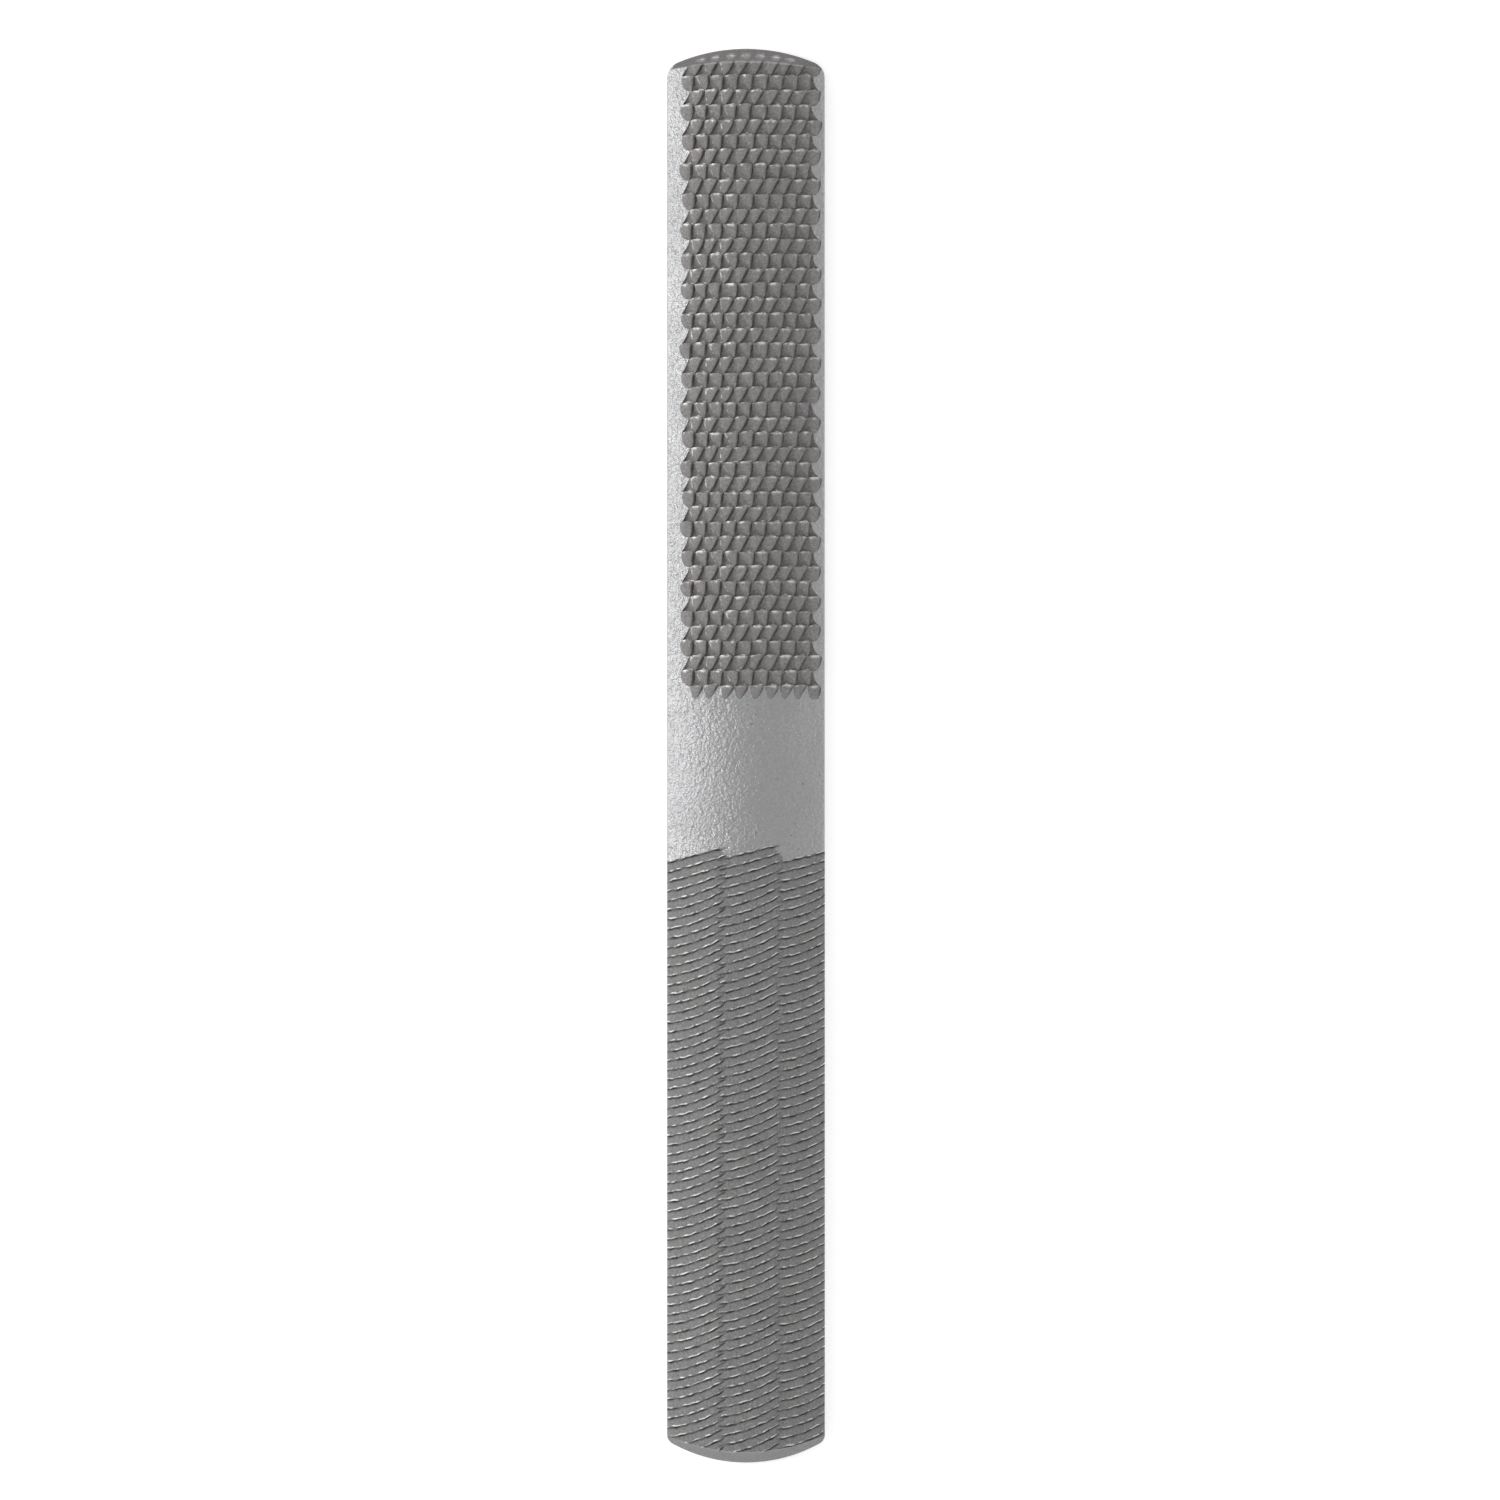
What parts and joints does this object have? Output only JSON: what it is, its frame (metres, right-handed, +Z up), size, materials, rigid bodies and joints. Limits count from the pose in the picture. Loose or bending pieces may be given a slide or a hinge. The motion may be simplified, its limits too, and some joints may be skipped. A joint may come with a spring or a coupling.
{
  "type": "four-way wood rasp",
  "caption": "Flat steel bar with a half-round side: rasp teeth on one half, file teeth on the other, a smooth grip band between them and arched ends; no handle.",
  "frame": {"origin": "middle of the bounding box, on the plane that the flat side's tooth tips touch", "axes": "+Y along the bar to the end with the round side's rasp teeth, +X across the bar, +Z up through the round side"},
  "size_m": [0.0222, 0.2, 0.0069],
  "materials": {
    "blank_steel": "bead-blasted hardened steel, bright and finely speckled",
    "rasp_cut_steel": "hardened steel cut into single burr teeth, warm grey with bright crests",
    "file_cut_steel": "hardened steel cut into slanted file grooves, grey with dark roots"
  },
  "bodies": {
    "root": {"blank": "blank_steel", "round_rasp_teeth": "rasp_cut_steel", "round_file_teeth_left": "file_cut_steel", "round_file_teeth_middle": "file_cut_steel", "round_file_teeth_right": "file_cut_steel", "flat_file_teeth": "file_cut_steel", "flat_rasp_teeth": "rasp_cut_steel"}
  },
  "joints": []
}
